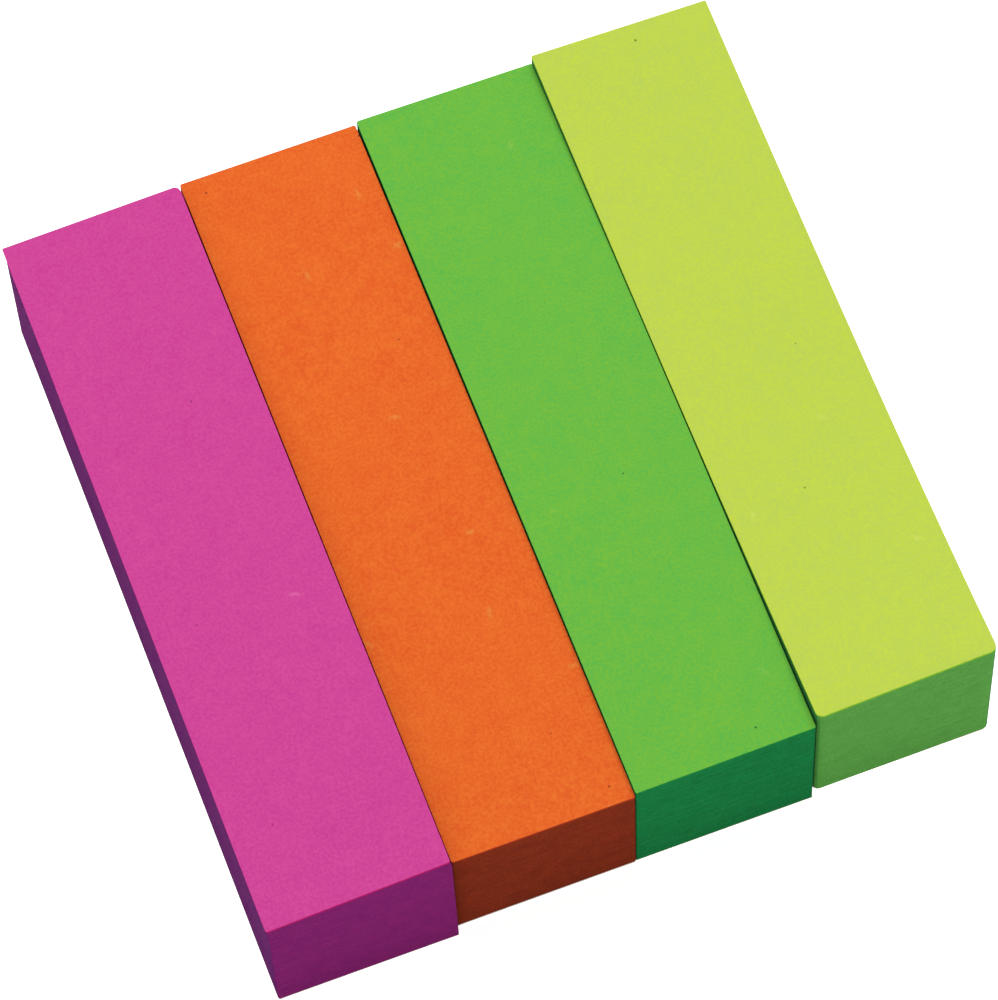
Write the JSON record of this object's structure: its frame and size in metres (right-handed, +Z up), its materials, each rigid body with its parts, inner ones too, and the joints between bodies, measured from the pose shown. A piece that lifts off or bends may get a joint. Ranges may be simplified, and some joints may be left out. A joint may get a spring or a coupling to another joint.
{
  "type": "sticky index tabs",
  "caption": "Narrow neon paper index tab pads lying side by side in a row: magenta, orange, green and lime, each a stack of stuck leaves on a thin release backing sheet.",
  "frame": {"origin": "on the table, under the middle of the whole row's box", "axes": "+Z up through the pads, +Y along the tabs away from their near ends, +X across the row from magenta to lime"},
  "size_m": [0.0486, 0.0508, 0.0127],
  "materials": {
    "magenta_paper": "matte",
    "orange_paper": "matte",
    "green_paper": "matte",
    "lime_paper": "matte",
    "backing_paper": "satin"
  },
  "bodies": {
    "root": {"magenta_tab_pad": "magenta_paper", "orange_tab_pad": "orange_paper", "green_tab_pad": "green_paper", "lime_tab_pad": "lime_paper", "magenta_backing_sheet": "backing_paper", "orange_backing_sheet": "backing_paper", "green_backing_sheet": "backing_paper", "lime_backing_sheet": "backing_paper"}
  },
  "joints": []
}
